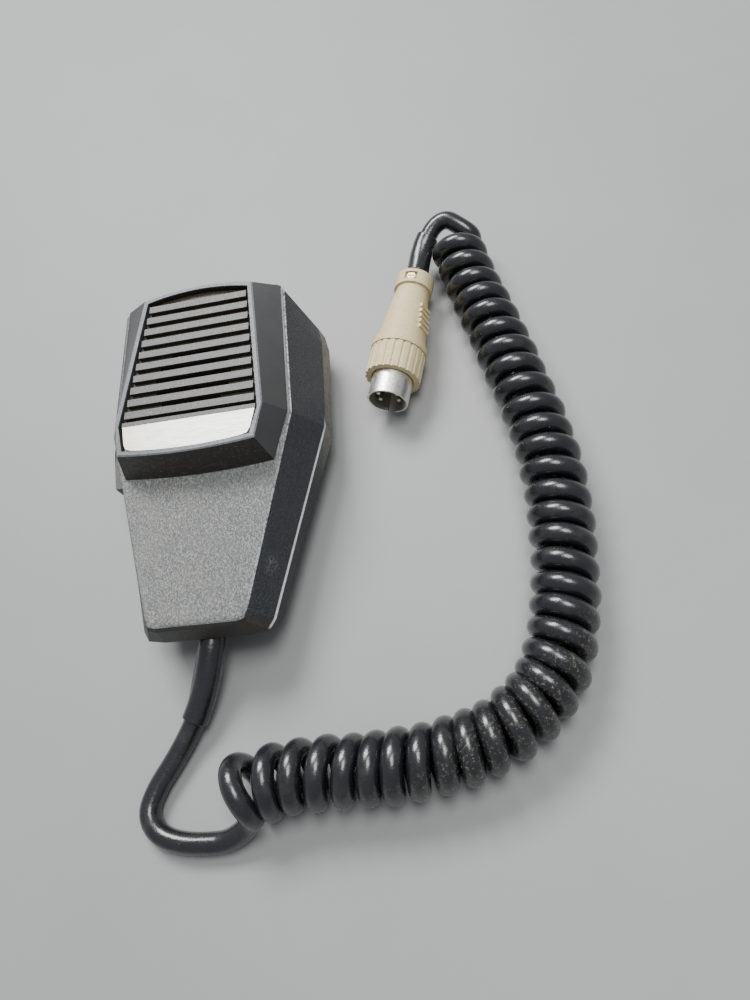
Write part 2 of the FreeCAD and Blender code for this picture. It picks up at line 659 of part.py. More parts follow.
# Centre line of the cord from the end of the coil to the plug.
PLUG_LEAD = [(84.8, 78.8, 8.2), (84.4, 84.0, 11.6), (81.0, 88.2, 13.6), (76.0, 88.4, 13.4),
             (71.4, 85.2, 11.8), (68.0, 80.2, 10.2), (66.6, 74.4, 9.4), (65.7, 69.0, 9.25),
             (64.3, 63.1, 9.25)]
SLEEVE_SPAN = (1, 4)
PLUG_SLEEVE_SPAN = (5, 7)


def rounded_path(points, label):
    """Straight runs joined by tangent arcs, each as large as its two runs allow."""
    points = [V(*p) for p in points]
    edges, radii, start = [], [], points[0]
    for before, corner, after in zip(points, points[1:], points[2:]):
        arrive, leave = (corner - before), (after - corner)
        shorter = min(arrive.Length, leave.Length)
        turn = arrive.getAngle(leave)
        reach = 0.45 * shorter
        radius = reach / math.tan(turn / 2)
        arrive.normalize()
        leave.normalize()
        arc_start, arc_end = corner - arrive * reach, corner + leave * reach
        bisector = (leave - arrive).normalize()
        centre = corner + bisector * (radius / math.cos(turn / 2))
        middle = centre - bisector * radius
        edges.append(Part.LineSegment(start, arc_start).toShape())
        edges.append(Part.Arc(arc_start, middle, arc_end).toShape())
        radii.append(round(radius, 1))
        start = arc_end
    edges.append(Part.LineSegment(start, points[-1]).toShape())
    print(label, "bend radii", radii)
    return Part.Wire(edges)


def tube(points, radius, label):
    """A round solid along a path, its volume compared with its section times its length."""
    path = rounded_path(points, label)
    start, direction = path.Edges[0].valueAt(path.Edges[0].FirstParameter), V(*points[1]) - V(*points[0])
    section = Part.Wire(Part.makeCircle(radius, start, direction))
    solid = path.makePipeShell([section], True, True)
    expected = math.pi * radius ** 2 * path.Length
    print(label, "length %.1f" % path.Length, "volume ratio %.4f" % (solid.Volume / expected))
    return solid


def cord_pieces():
    """The cord's lead at the case, its coil and its lead at the plug, with a sleeve at each end."""
    cord, sleeve, bore = size("cord_radius"), size("sleeve_radius"), size("sleeve_bore")
    axis = [(x, y, size("coil_radius")) for x, y in COIL_AXIS]
    pieces = [feature_of("cord_lead_mic", tube(MIC_LEAD, cord, "cord_lead_mic")),
              feature_of("cord_coil", tube(axis, size("coil_radius"), "cord_coil")),
              feature_of("cord_lead_plug", tube(PLUG_LEAD, cord, "cord_lead_plug"))]
    for label, route, span in (("cord_sleeve", MIC_LEAD, SLEEVE_SPAN),
                               ("plug_sleeve", PLUG_LEAD, PLUG_SLEEVE_SPAN)):
        part = sleeve_route(route, span)
        outer = tube(part, sleeve, label)
        pieces.append(feature_of(label, outer.cut(tube(part, bore, label + " bore"))))
    return pieces


def sleeve_route(route, span):
    """The stretch of a route that a sleeve covers, from mid-run to mid-run."""
    first, last = span
    ends = [tuple((V(*route[k]) + V(*route[k + 1])) * 0.5) for k in (first - 1, last)]
    return [ends[0]] + route[first:last + 1] + [ends[1]]


def cord_clamp():
    """Saddle that holds the cord inside the case."""
    body = new_body("cord_clamp")
    block(body, "Additive", "saddle", ("-7.6", "-42.5", "exit_level - 3.8"), ("15.2", "4", "8.6"))
    doc.recompute()
    bore = body.newObject("PartDesign::SubtractiveCylinder", "saddle_bore")
    bore.setExpression("Radius", cell("cord_radius + 0.02"))
    bore.Height = 8
    bore.Placement = FreeCAD.Placement(V(0, -38, size("exit_level")), FreeCAD.Rotation(X_AXIS, 90))
    return body


def clamp_screws():
    """Two screws through the saddle."""
    screws = []
    for x in (-5.6, 5.6):
        top = size("exit_level") + 4.8
        head = Part.makeCylinder(2.0, 1.2, V(x, -40.5, top))
        screws.append(head.cut(Part.makeBox(3.2, 0.5, 0.6, V(x - 1.6, -40.75, top + 0.6))))
    return feature_of("clamp_screws", Part.makeCompound(screws))


def lead_wires():
    """Insulated wires from the cord to the switch and the capsule."""
    ends = [(-4.2, -3.0, 18.68), (-4.2, 0.9, 18.68), (-4.2, 4.8, 18.68)]
    wires = []
    for number, (x, y, z) in enumerate(ends):
        spread = 1.7 * (number - 1)
        route = [(spread * 0.7, -38.8, 11.5 + 0.4 * number), (spread, -32.0, 12.2),
                 (spread - 1.0, -23.0, 14.6), (x + 4.4, -13.0, 17.4), (x + 2.4, y - 4.0, 18.8), (x, y, z)]
        wires.append(tube(route, 0.55, f"wire {number}"))
    return feature_of("lead_wires", Part.makeCompound(wires))


# --------------------------------------------------------------------------------------- plug
PLUG_START = V(64.8, 65.1, 0)
PLUG_END = V(54.0, 22.0, 0)
RIB_TURN = 20.0
RIB_COUNT = 5
RIB_PITCH = 2.1
FLUTE_COUNT = 22
CONTACT_ANGLES = [-30, 30, 90, 150, 210]


def plug_placement():
    """The plug's own Z axis laid along its direction on the table."""
    along = (PLUG_END - PLUG_START).normalize()
    level = V(0, 0, size("plug_level"))
    turned = FreeCAD.Rotation(V(-along.y, along.x, 0), Z_AXIS, along, "ZXY")
    return FreeCAD.Placement(PLUG_START + level, turned)


def plug_pieces():
    """Clamp collar and screw, shell, locking ring, barrel, insulator and contact pins."""
    at = plug_placement()
    ring_start = "clamp_length + shell_length + flange_length + 0.15"
    collar = stack("plug_clamp", [("clamp_radius", "0", "clamp_length")],
                   [("sleeve_radius + 0.04", "0", "clamp_length")], at)
    doc.recompute()
    block(collar, "Subtractive", "clamp_recess", ("-2.1", "5.0", "1.2"), ("4.2", "2", "2.8"))

    screw = Part.makeCylinder(1.35, 0.9, V(0, 5.0, 2.6), Y_AXIS)
    screw = screw.cut(Part.makeBox(2.4, 0.5, 0.4, V(-1.2, 5.5, 2.4)))
    screw_piece = feature_of("plug_clamp_screw", screw, at)

    shell = new_body("plug_shell")
    taper = shell.newObject("PartDesign::AdditiveCone", "shell_taper")
    for field, text in (("Radius1", "shell_tip_radius"), ("Radius2", "shell_base_radius"),
                        ("Height", "shell_length"), ("Placement.Base.z", "clamp_length")):
        taper.setExpression(field, cell(text))
    disc(shell, "shell_flange", "flange_radius", "clamp_length + shell_length", "flange_length")
    disc(shell, "shell_stub", "ring_stub", "clamp_length + shell_length + flange_length", "ring_length - 1.2")
    turned = FreeCAD.Rotation(Z_AXIS, RIB_TURN)
    for number in range(RIB_COUNT):
        rise = 7.6 + RIB_PITCH * number
        taper_radius = size("shell_tip_radius") + 0.13 * rise
        low_corner = turned.multVec(V(taper_radius - 2.6, -2.6, size("clamp_length") + rise))
        rib = shell.newObject("PartDesign::AdditiveBox", f"finger_rib{number}")
        rib.Length, rib.Width, rib.Height = 3.2, 5.2, 1.1
        rib.Placement = FreeCAD.Placement(low_corner, turned)
    hole(shell, "shell_barrel_room", "barrel_seat", "clamp_length + barrel_start - 1", "30")
    hole(shell, "shell_room", "sleeve_radius + 0.04", "clamp_length", "12")
    hole(shell, "shell_wire_room", "3", "clamp_length", "20")
    shell.Placement = at

    ring = stack("plug_lock_ring", [("ring_radius", ring_start, "ring_length")],
                 [("ring_bore", ring_start, "ring_length - 1"), ("barrel_radius + 0.3", ring_start, "20")])
    flute = circle_sketch(ring, "flute", "0.55", ring_start, "ring_radius + 0.12")
    groove = pocket(ring, flute, "ring_length")
    flutes = ring.newObject("PartDesign::PolarPattern", "flutes")
    flutes.Originals = [groove]
    flutes.Axis = (next(a for a in ring.Origin.OriginFeatures if a.Role == "Z_Axis"), [""])
    flutes.Angle = 360
    flutes.Occurrences = FLUTE_COUNT
    ring.Tip = flutes
    ring.Placement = at

    front = "clamp_length + shell_length + flange_length + ring_length + barrel_shoulder"
    tip = "clamp_length + shell_length + flange_length + ring_length + barrel_reach"
    start = "clamp_length + barrel_start"
    barrel = stack("plug_barrel",
                   [("barrel_seat", start, f"{front} - clamp_length - barrel_start"),
                    ("barrel_radius", front, "barrel_reach - barrel_shoulder")],
                   [("barrel_bore", start, "40")])
    block(barrel, "Subtractive", "key_groove", ("-1.1", "-7.5", f"{tip} - 7"), ("2.2", "2", "7"))
    barrel.Placement = at

    insulator = new_body("plug_insulator")
    back = f"{tip} - insulator_depth"
    disc(insulator, "insulator_disc", "barrel_bore - 0.02", back, "insulator_thickness")
    circle = size("pin_circle")
    contacts = [(circle * math.cos(math.radians(a)), circle * math.sin(math.radians(a)))
                for a in CONTACT_ANGLES]
    for number, (x, y) in enumerate(contacts):
        hole(insulator, f"contact_hole{number}", "contact_radius", back, "insulator_thickness",
             f"{x:.4f}", f"{y:.4f}")
    insulator.Placement = at

    plug_length = sum(size(n) for n in ("clamp_length", "shell_length", "flange_length", "ring_length",
                                        "barrel_reach"))
    foot = plug_length - size("contact_depth")
    length = size("contact_length")
    pins = []
    for x, y in contacts:
        pin = Part.makeCylinder(size("contact_radius"), length, V(x, y, foot))
        pin_tip = [e for e in pin.Edges if e.BoundBox.ZMin > foot + length - 0.1]
        pins.append(pin.makeFillet(0.4, pin_tip))
    pin_piece = feature_of("plug_pins", Part.makeCompound(pins), at)
    return [collar, screw_piece, shell, ring, barrel, insulator, pin_piece]


def stud_nut():
    """Nut on the stud's screw, inside the rear shell."""
    place = FreeCAD.Placement(V(0, 0, size("back_level") + size("wall")), FreeCAD.Rotation())
    return feature_of("stud_nut", hexagon(size("stud_nut_flats"), 2.4, size("stud_bore_radius")), place)


pieces = [front_shell(), grille_insert(), nameplate(), back_shell(), hang_stud(), stud_screw(), stud_nut(),
          case_screws(), ptt_lever(), ptt_pin(), ptt_spring(), spring_post(), switch_body(), switch_plunger(),
          switch_contacts(), circuit_board(), board_screws(), board_parts(), cord_clamp(), clamp_screws(),
          lead_wires()]
pieces += capsule_pieces() + cord_pieces() + plug_pieces()
doc.recompute()

for item in doc.Objects:
    if "Invalid" in item.State or "Error" in item.State:
        raise RuntimeError(f"{item.Name} did not compute: {item.State}")
for piece in pieces:
    if piece.Shape.isNull() or not piece.Shape.isValid():
        raise RuntimeError(f"{piece.Label} has no valid shape")

os.makedirs("parts", exist_ok=True)
for piece in pieces:
    piece.Shape.exportStep(f"parts/{piece.Label}.step")
    box = piece.Shape.BoundBox
    print(f"{piece.Label:18s} solids {len(piece.Shape.Solids)}  volume {piece.Shape.Volume:9.1f}"
          f"  x {box.XMin:7.1f} {box.XMax:7.1f}  y {box.YMin:7.1f} {box.YMax:7.1f}"
          f"  z {box.ZMin:6.2f} {box.ZMax:6.2f}")
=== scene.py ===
"""Looks of the hand microphone: camera, studio, cord, sleeves and the material of every piece."""

import math

import bpy
from mathutils import Matrix, Vector


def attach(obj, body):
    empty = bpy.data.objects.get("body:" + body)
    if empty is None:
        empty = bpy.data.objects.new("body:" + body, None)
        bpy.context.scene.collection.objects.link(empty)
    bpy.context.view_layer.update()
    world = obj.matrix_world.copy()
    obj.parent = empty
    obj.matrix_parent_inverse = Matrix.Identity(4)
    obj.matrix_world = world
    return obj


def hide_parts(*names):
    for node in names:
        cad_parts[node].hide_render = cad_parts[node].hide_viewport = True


MM = 0.001
Z_AXIS = Vector((0, 0, 1))

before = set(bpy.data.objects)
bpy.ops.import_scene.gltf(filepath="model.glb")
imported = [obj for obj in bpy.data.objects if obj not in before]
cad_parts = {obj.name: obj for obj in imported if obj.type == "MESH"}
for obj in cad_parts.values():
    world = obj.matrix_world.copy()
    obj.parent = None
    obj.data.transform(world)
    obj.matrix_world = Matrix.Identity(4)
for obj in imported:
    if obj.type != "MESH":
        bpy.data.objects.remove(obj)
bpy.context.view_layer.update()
scene = bpy.context.scene


# ----------------------------------------------------------------------------------- camera
def make_camera():
    """The photograph's viewpoint: place and axes in the row frame."""
    place = Vector((89.9, -110.6, 207.8)) * MM
    right = Vector((0.97481, -0.03161, -0.22079))
    up = Vector((0.12204, 0.90415, 0.40941))
    back = Vector((0.18669, -0.42604, 0.88523))
    data = bpy.data.cameras.new("camera")
    data.lens = 27.04
    data.sensor_width = 36.0
    data.clip_start, data.clip_end = 0.01, 20.0
    camera = bpy.data.objects.new("camera", data)
    scene.collection.objects.link(camera)
    camera.matrix_world = Matrix((right, up, back)).transposed().to_4x4()
    camera.location = place
    scene.camera = camera


make_camera()

# ------------------------------------------------------------------------------------- cord
CORD_RADIUS = 3.0
CORD_RESOLUTION = 5
LOWEST_CENTRE = CORD_RADIUS - 0.1
COIL_LEVEL = 9.25
AXIS_STEP = 0.25
TURNS = 35
POINTS_PER_TURN = 14
START_ANGLE, END_ANGLE = -14, 18
# The first turn leans along the axis, by this many mm, and the lean fades over this share of a turn.
FIRST_TURN_LEAN, LEAN_FADE = 3.0, 0.55
# Every turn leans a little, by this many mm, and the lean changes by this many radians per turn.
LEAN_RIPPLE, RIPPLE_RATE = 0.25, 1.7
# The first turns are wider, by this many mm, and the extra fades over this share of a turn.
LOOSE_START, LOOSE_FADE = 0.8, 0.7
# Waves of the turns' radius: height in mm, radians per turn, start in radians.
WOBBLES = [(0.10, 2.3, 0.0), (0.08, 0.9, 1.0)]

MIC_LEAD = [(0.0, -39.0, 11.5), (0.0, -46.8, 11.45), (-0.7, -55.4, 10.9), (-2.6, -64.0, 8.3),
            (-5.6, -71.6, 5.6), (-9.2, -78.5, 4.0), (-13.5, -85.5, 3.2), (-17.9, -91.9, 3.05),
            (-20.3, -98.6, 3.05), (-16.7, -104.0, 3.05), (-10.1, -106.3, 3.05), (-2.8, -106.8, 3.05),
            (4.8, -106.4, 3.05)]
COIL_AXIS = [(7.4, -95.5), (15.4, -92.8), (27.7, -91.0), (46.9, -91.0), (66.4, -88.7), (82.4, -82.4),
             (93.4, -71.4), (98.4, -54.7), (100.4, -36.0), (100.8, -16.6), (98.4, 2.5), (93.6, 21.2),
             (89.2, 39.3), (84.5, 55.7), (80.9, 69.7), (79.4, 78.6)]
PLUG_LEAD = [(81.0, 82.8, 12.9), (77.4, 85.8, 13.7), (73.0, 84.6, 12.9), (69.2, 79.9, 10.8),
             (67.0, 74.4, 9.6), (65.9, 69.2, 9.25), (64.3, 63.1, 9.25)]
# Distance between turns, in mm, at these distances along the coil's axis.
PITCHES = [(0, 8.4), (7, 7.2), (14, 6.9), (27, 6.6), (34, 6.1), (80, 6.0), (130, 6.4), (170, 7.0),
           (254, 7.2)]
# Radius of the turns' centre line, in mm, at these distances along the coil's axis.
COIL_RADII = [(0, 6.65), (40, 6.55), (90, 6.45), (130, 6.3), (170, 6.25), (250, 6.05)]


def route_curve(name, points):
    """An open NURBS curve of order 3 through its end points, control points in mm."""
    curve = bpy.data.curves.new(name, "CURVE")
    curve.dimensions = "3D"
    spline = curve.splines.new("NURBS")
    spline.points.add(len(points) - 1)
    for point, place in zip(spline.points, points):
        point.co = (*(Vector(place) * MM), 1.0)
    spline.order_u = 3
    spline.use_endpoint_u = True
    return curve


def line_of(points, resolution=24):
    """The smooth line of a route, as points in mm read from its bevel-less curve."""
    curve = route_curve("guide", points)
    curve.splines[0].resolution_u = resolution
    guide = bpy.data.objects.new("guide", curve)
    scene.collection.objects.link(guide)
    bpy.context.view_layer.update()
    mesh = bpy.data.meshes.new_from_object(guide)
    line = [v.co / MM for v in mesh.vertices]
    bpy.data.objects.remove(guide)
    bpy.data.meshes.remove(mesh)
    return line


class Line:
    """A line read from a curve: the place and direction at a distance from its start."""

    def __init__(self, points):
        self.points = points
        self.at = [0.0]
        for before, after in zip(points, points[1:]):
            self.at.append(self.at[-1] + (after - before).length)
        self.length = self.at[-1]
        self.last = 0

    def place(self, distance):
        """The point at a distance, and the unit direction there."""
        distance = min(max(distance, 0.0), self.length)
        k = self.last if self.at[self.last] <= distance else 0
        while k < len(self.at) - 2 and self.at[k + 1] < distance:
            k += 1
        self.last = k
        run = self.points[k + 1] - self.points[k]
        share = (distance - self.at[k]) / max(self.at[k + 1] - self.at[k], 1e-9)
        return self.points[k] + run * share, run.normalized()


def between(table, x):
    """Linear interpolation in a table of (x, value)."""
    for (x0, v0), (x1, v1) in zip(table, table[1:]):
        if x <= x1:
            return v0 + (v1 - v0) * max(0.0, (x - x0) / (x1 - x0))
    return table[-1][1]


def helix_points():
    """Control points of the coil's turns, wound left-handed from the case to the plug."""
    axis = Line(line_of([(x, y, COIL_LEVEL) for x, y in COIL_AXIS]))
    count = int(axis.length / AXIS_STEP)
    turned = [0.0]
    for k in range(count):
        turned.append(turned[-1] + AXIS_STEP / between(PITCHES, k * AXIS_STEP))
    scale = TURNS / turned[-1]
    start, end = math.radians(START_ANGLE), math.radians(360 * TURNS + END_ANGLE)
    total = TURNS * POINTS_PER_TURN
    edge_ratio = math.cos(math.pi / POINTS_PER_TURN)
    points, k = [], 0
    for number in range(total + 1):
        share = number / total
        while k < count and turned[k] * scale < share * TURNS:
            k += 1
        centre, along = axis.place(k * AXIS_STEP)
        side = along.cross(Z_AXIS).normalized()
        angle = start + (end - start) * share
        turn = share * TURNS
        wobble = sum(height * math.sin(turn * rate + phase) for height, rate, phase in WOBBLES)
        loose = LOOSE_START * math.exp(-turn / LOOSE_FADE)
        radius = (between(COIL_RADII, k * AXIS_STEP) + wobble + loose) / edge_ratio
        first_lean = FIRST_TURN_LEAN * math.exp(-((turn / LEAN_FADE) ** 2) / 2) * math.cos(angle)
        lean = first_lean + LEAN_RIPPLE * math.sin(turn * RIPPLE_RATE)
        point = centre + side * (radius * math.cos(angle)) + Z_AXIS * (radius * math.sin(angle))
        point = point + along * lean
        point.z = max(point.z, LOWEST_CENTRE)
        points.append(point)
    return points


def make_cord():
    """The whole cord as one curve, and its line: lead, coil and lead to the plug."""
    points = [Vector(p) for p in MIC_LEAD] + helix_points() + [Vector(p) for p in PLUG_LEAD]
    curve = route_curve("cord", points)
    curve.splines[0].resolution_u = CORD_RESOLUTION
    curve.bevel_depth = CORD_RADIUS * MM
    curve.bevel_resolution = 7
    curve.use_fill_caps = True
    cord = bpy.data.objects.new("cord", curve)
    scene.collection.objects.link(cord)
    return cord, Line(line_of(points, CORD_RESOLUTION))


cord, cord_line = make_cord()

# ----------------------------------------------------------------------------------- sleeves
SLEEVE_RADIUS = 3.8
SLEEVE_BORE = CORD_RADIUS + 0.02
SLEEVE_SIDES = 40
RING_SPACING = 0.5
LIP_LENGTH = 0.4
# How far the bore reaches in from each end; the rest of it is out of sight against the cord.
BORE_DEPTH = 1.0
# Lengthwise flats: how many, half their depth, where the first one is, and where they are full.
FLATS, FLAT_DEPTH, FLAT_ANGLE, FLAT_FADE = 3, 0.045, 0.6, 4
# A crease's slant across the sleeve in mm, and the side it is deepest on, in radians.
CREASE_SLANT, CREASE_SIDE = 0.5, 1.0


def sweep(name, rings):
    """A mesh from rings of points, quads between neighbouring rings and from the last to the first."""
    verts = [p * MM for ring in rings for p in ring]
    around = len(rings[0])
    faces = []
    for k in range(len(rings)):
        for j in range(around):
            a, b = k * around, ((k + 1) % len(rings)) * around
            faces.append((a + j, a + (j + 1) % around, b + (j + 1) % around, b + j))
    mesh = bpy.data.meshes.new(name)
    mesh.from_pydata(verts, [], faces)
    mesh.validate()
    for polygon in mesh.polygons:
        polygon.use_smooth = True
    piece = bpy.data.objects.new(name, mesh)
    scene.collection.objects.link(piece)
    return piece


def sleeve_piece(name, start, end, creases):
    """A soft tube on the cord: cut ends with a small lip, lengthwise flats and cross creases."""
    span = end - start
    outer_steps = int(span / RING_SPACING)
    profile = [(0.0, SLEEVE_BORE), (0.0, SLEEVE_RADIUS - 0.25), (0.12, SLEEVE_RADIUS - 0.06),
               (LIP_LENGTH, SLEEVE_RADIUS)]
    stations = [(start + d, r, False) for d, r in profile]
    stations += [(start + LIP_LENGTH + (span - 2 * LIP_LENGTH) * k / outer_steps, SLEEVE_RADIUS, True)
                 for k in range(1, outer_steps)]
    stations += [(end - d, r, False) for d, r in reversed(profile)]
    stations += [(end - BORE_DEPTH, SLEEVE_BORE, False), (start + BORE_DEPTH, SLEEVE_BORE, False)]
    rings = []
    for distance, radius, free in stations:
        centre, along = cord_line.place(distance)
        side = along.cross(Z_AXIS).normalized()
        up = side.cross(along).normalized()
        ring = []
        for j in range(SLEEVE_SIDES):
            angle = 2 * math.pi * j / SLEEVE_SIDES
            r = radius
            if free:
                flat = FLAT_DEPTH * (1 + math.cos(FLATS * angle + FLAT_ANGLE))
                r -= flat * min(1.0, (distance - start) / FLAT_FADE)
                for place, depth, width in creases:
                    bend = abs(distance - place - CREASE_SLANT * math.cos(angle))
                    strength = 0.6 + 0.4 * math.cos(angle + CREASE_SIDE)
                    r -= depth * math.exp(-((bend / width) ** 2)) * strength
            ring.append(centre + side * (r * math.cos(angle)) + up * (r * math.sin(angle)))
        rings.append(ring)
    return sweep(name, rings)


def distance_to(place):
    """The distance along the cord nearest to a place."""
    place = Vector(place)
    return min(zip(cord_line.points, cord_line.at), key=lambda item: (item[0] - place).length)[1]


# Each crease is its place along the cord, its depth and its width.
sleeve = sleeve_piece("sleeve", distance_to((0.0, -42.9, 11.5)), distance_to((-7.4, -75.1, 4.8)),
                      [(distance_to((-0.9, -58.0, 10.2)), 0.22, 0.5),
                       (distance_to((-1.5, -60.4, 9.4)), 0.15, 0.4)])
plug_sleeve = sleeve_piece("plug_sleeve_soft", distance_to((70.3, 82.0, 11.6)),
                           distance_to((65.2, 67.4, 9.25)),
                           [(distance_to((68.0, 77.0, 10.0)), 0.10, 0.5)])


# ----------------------------------------------------------------------------------- studio
FLOOR_REACH = 3.0
# Each light's name, place, target, width, height and power, in metres and watts.
LIGHTS = [("key", (-0.30, 0.72, 0.95), (0.02, -0.02, 0.0), 0.62, 0.40, 21.0),
          ("overhead", (0.28, 0.10, 1.1), (0.04, 0.0, 0.0), 0.5, 0.4, 9.0)]


def make_studio():
    """Pale floor, pale surroundings and large soft lights."""
    mesh = bpy.data.meshes.new("floor")
    corners = [(x * FLOOR_REACH, y * FLOOR_REACH, 0) for x, y in ((-1, -1), (1, -1), (1, 1), (-1, 1))]
    mesh.from_pydata(corners, [], [(0, 1, 2, 3)])
    floor = bpy.data.objects.new("floor", mesh)
    scene.collection.objects.link(floor)
    world = bpy.data.worlds.new("studio")
    world.use_nodes = True
    background = world.node_tree.nodes["Background"].inputs
    background["Color"].default_value = (0.86, 0.9, 0.95, 1)
    background["Strength"].default_value = 0.44
    scene.world = world
    for name, place, target, width, height, power in LIGHTS:
        light = bpy.data.lights.new(name, "AREA")
        light.shape = "RECTANGLE"
        light.size, light.size_y = width, height
        light.energy = power
        lamp = bpy.data.objects.new(name, light)
        scene.collection.objects.link(lamp)
        lamp.location = place
        lamp.rotation_mode = "QUATERNION"
        lamp.rotation_quaternion = (Vector(target) - Vector(place)).to_track_quat("-Z", "Y")
    return floor


floor = make_studio()


# --------------------------------------------------------------------------------- materials
class Paint:
    """One material's node tree, with short ways to add what its pattern needs."""

    def __init__(self, name):
        self.material = bpy.data.materials.new(name)
        self.material.use_nodes = True
        self.tree = self.material.node_tree
        self.shader = self.tree.nodes["Principled BSDF"]
        coordinates = self.tree.nodes.new("ShaderNodeTexCoord").outputs["Object"]
        scale = self.tree.nodes.new("ShaderNodeVectorMath")
        scale.operation = "SCALE"
        self.tree.links.new(coordinates, scale.inputs[0])
        scale.inputs["Scale"].default_value = 1 / MM
        self.place = scale.outputs["Vector"]
        self.axes = None

    def plug(self, value, socket):
        """Links an output, or sets a plain number."""
        if isinstance(value, bpy.types.NodeSocket):
            self.tree.links.new(value, socket)
        else:
            socket.default_value = value

    def axis(self, which):
        """One coordinate of the place, in mm."""
        if self.axes is None:
            self.axes = self.tree.nodes.new("ShaderNodeSeparateXYZ")
            self.tree.links.new(self.place, self.axes.inputs[0])
        return self.axes.outputs[which]

    def normal(self, which):
        """One component of the surface's own direction."""
        split = self.tree.nodes.new("ShaderNodeSeparateXYZ")
        geometry = self.tree.nodes.new("ShaderNodeNewGeometry")
        self.tree.links.new(geometry.outputs["True Normal"], split.inputs[0])
        return split.outputs[which]

    def math(self, operation, a, b=0.0, clamp=False):
        """One arithmetic step on two values."""
        node = self.tree.nodes.new("ShaderNodeMath")
        node.operation = operation
        node.use_clamp = clamp
        self.plug(a, node.inputs[0])
        self.plug(b, node.inputs[1])
        return node.outputs[0]

    def times(self, a, b):
        """The product of two values."""
        return self.math("MULTIPLY", a, b)

    def plus(self, a, b):
        """The sum of two values."""
        return self.math("ADD", a, b)

    def span(self, value, low, high, start=0.0, end=1.0):
        """Smooth step from start to end as the value goes from low to high."""
        node = self.tree.nodes.new("ShaderNodeMapRange")
        node.interpolation_type = "SMOOTHSTEP"
        self.plug(value, node.inputs["Value"])
        for name, number in (("From Min", low), ("From Max", high), ("To Min", start), ("To Max", end)):
            node.inputs[name].default_value = number
        return node.outputs["Result"]

    def stretch(self, factors):
        """The place, scaled differently along each axis."""
        node = self.tree.nodes.new("ShaderNodeVectorMath")
        node.operation = "MULTIPLY"
        self.tree.links.new(self.place, node.inputs[0])
        node.inputs[1].default_value = factors
        return node.outputs[0]

    def away_from(self, point):
        """The distance from a point, in mm."""
        node = self.tree.nodes.new("ShaderNodeVectorMath")
        node.operation = "DISTANCE"
        self.tree.links.new(self.place, node.inputs[0])
        node.inputs[1].default_value = point
        return node.outputs["Value"]

    def noise(self, size, detail=3.0, rough=0.55, place=None, distortion=0.0):
        """Cloudy noise whose blobs are about size mm across."""
        node = self.tree.nodes.new("ShaderNodeTexNoise")
        self.tree.links.new(place or self.place, node.inputs["Vector"])
        node.inputs["Scale"].default_value = 1.0 / size
        node.inputs["Detail"].default_value = detail
        node.inputs["Roughness"].default_value = rough
        node.inputs["Distortion"].default_value = distortion
        return node.outputs["Fac"]

    def cells(self, size, feature="F1", place=None):
        """Distance pattern of cells about size mm across."""
        node = self.tree.nodes.new("ShaderNodeTexVoronoi")
        node.feature = feature
        self.tree.links.new(place or self.place, node.inputs["Vector"])
        node.inputs["Scale"].default_value = 1.0 / size
        return node.outputs["Distance"]

    def mix(self, share, a, b):
        """Colour a where share is 0 and b where it is 1."""
        node = self.tree.nodes.new("ShaderNodeMix")
        node.data_type = "RGBA"
        self.plug(share, node.inputs["Factor"])
        self.plug(a if isinstance(a, bpy.types.NodeSocket) else (*a, 1.0), node.inputs["A"])
        self.plug(b if isinstance(b, bpy.types.NodeSocket) else (*b, 1.0), node.inputs["B"])
        return node.outputs["Result"]

    def bump(self, height, depth):
        """Bump of a height field from 0 to 1, depth mm deep."""
        node = self.tree.nodes.new("ShaderNodeBump")
        self.plug(height, node.inputs["Height"])
        node.inputs["Distance"].default_value = depth * MM
        return node.outputs["Normal"]

    def finish(self, colour, rough, normal=None, metal=None, **plain):
        """Links the shader's inputs; plain numbers go straight on their sockets."""
        self.plug(colour if isinstance(colour, bpy.types.NodeSocket) else (*colour, 1.0),
                  self.shader.inputs["Base Color"])
        self.plug(rough, self.shader.inputs["Roughness"])
        if normal:
            self.tree.links.new(normal, self.shader.inputs["Normal"])
        if metal is not None:
            self.plug(metal, self.shader.inputs["Metallic"])
        for name, value in plain.items():
            self.shader.inputs[name.replace("_", " ")].default_value = value
        return self.material


# The front panel's plane: its height at y = 0 and its rise per mm of y.
PANEL_HEIGHT, PANEL_RISE = 29.6, 0.0945
# Heights of the top of the head's rim, the tops of the louvre bars and the seam between the shells.
RIM_TOP, BAR_TOP, SEAM = 39.2, 38.7, 15.2
# The middle of the scratch on the right wall.
SCRATCH_PLACE = (21.7, -37.2, 22.0)


def specks(paint, size, amount):
    """Sparse bright specks, 1 at a speck and 0 elsewhere."""
    near = paint.span(paint.cells(size), 0.10, 0.20, 1.0, 0.0)
    some = paint.span(paint.noise(size * 2.2, 2.0), 0.75 - amount, 0.80 - amount)
    return paint.times(near, some)


def leather(paint):
    """Height of moulded leather grain, drawn out on a slant: 0 in its valleys, 1 on its wrinkles."""
    turned = paint.tree.nodes.new("ShaderNodeMapping")
    turned.inputs["Rotation"].default_value = (0.0, 0.0, math.radians(35))
    turned.inputs["Scale"].default_value = (1.8, 1.0, 1.2)
    paint.tree.links.new(paint.place, turned.inputs["Vector"])
    slanted = turned.outputs["Vector"]
    wrinkles = paint.span(paint.noise(0.62, 2.0, 0.5, slanted, 0.8), 0.34, 0.64)
    pebbles = paint.span(paint.cells(0.8, "SMOOTH_F1", slanted), 0.15, 0.65, 1.0, 0.0)
    return paint.plus(paint.times(wrinkles, 0.6), paint.times(pebbles, 0.4))


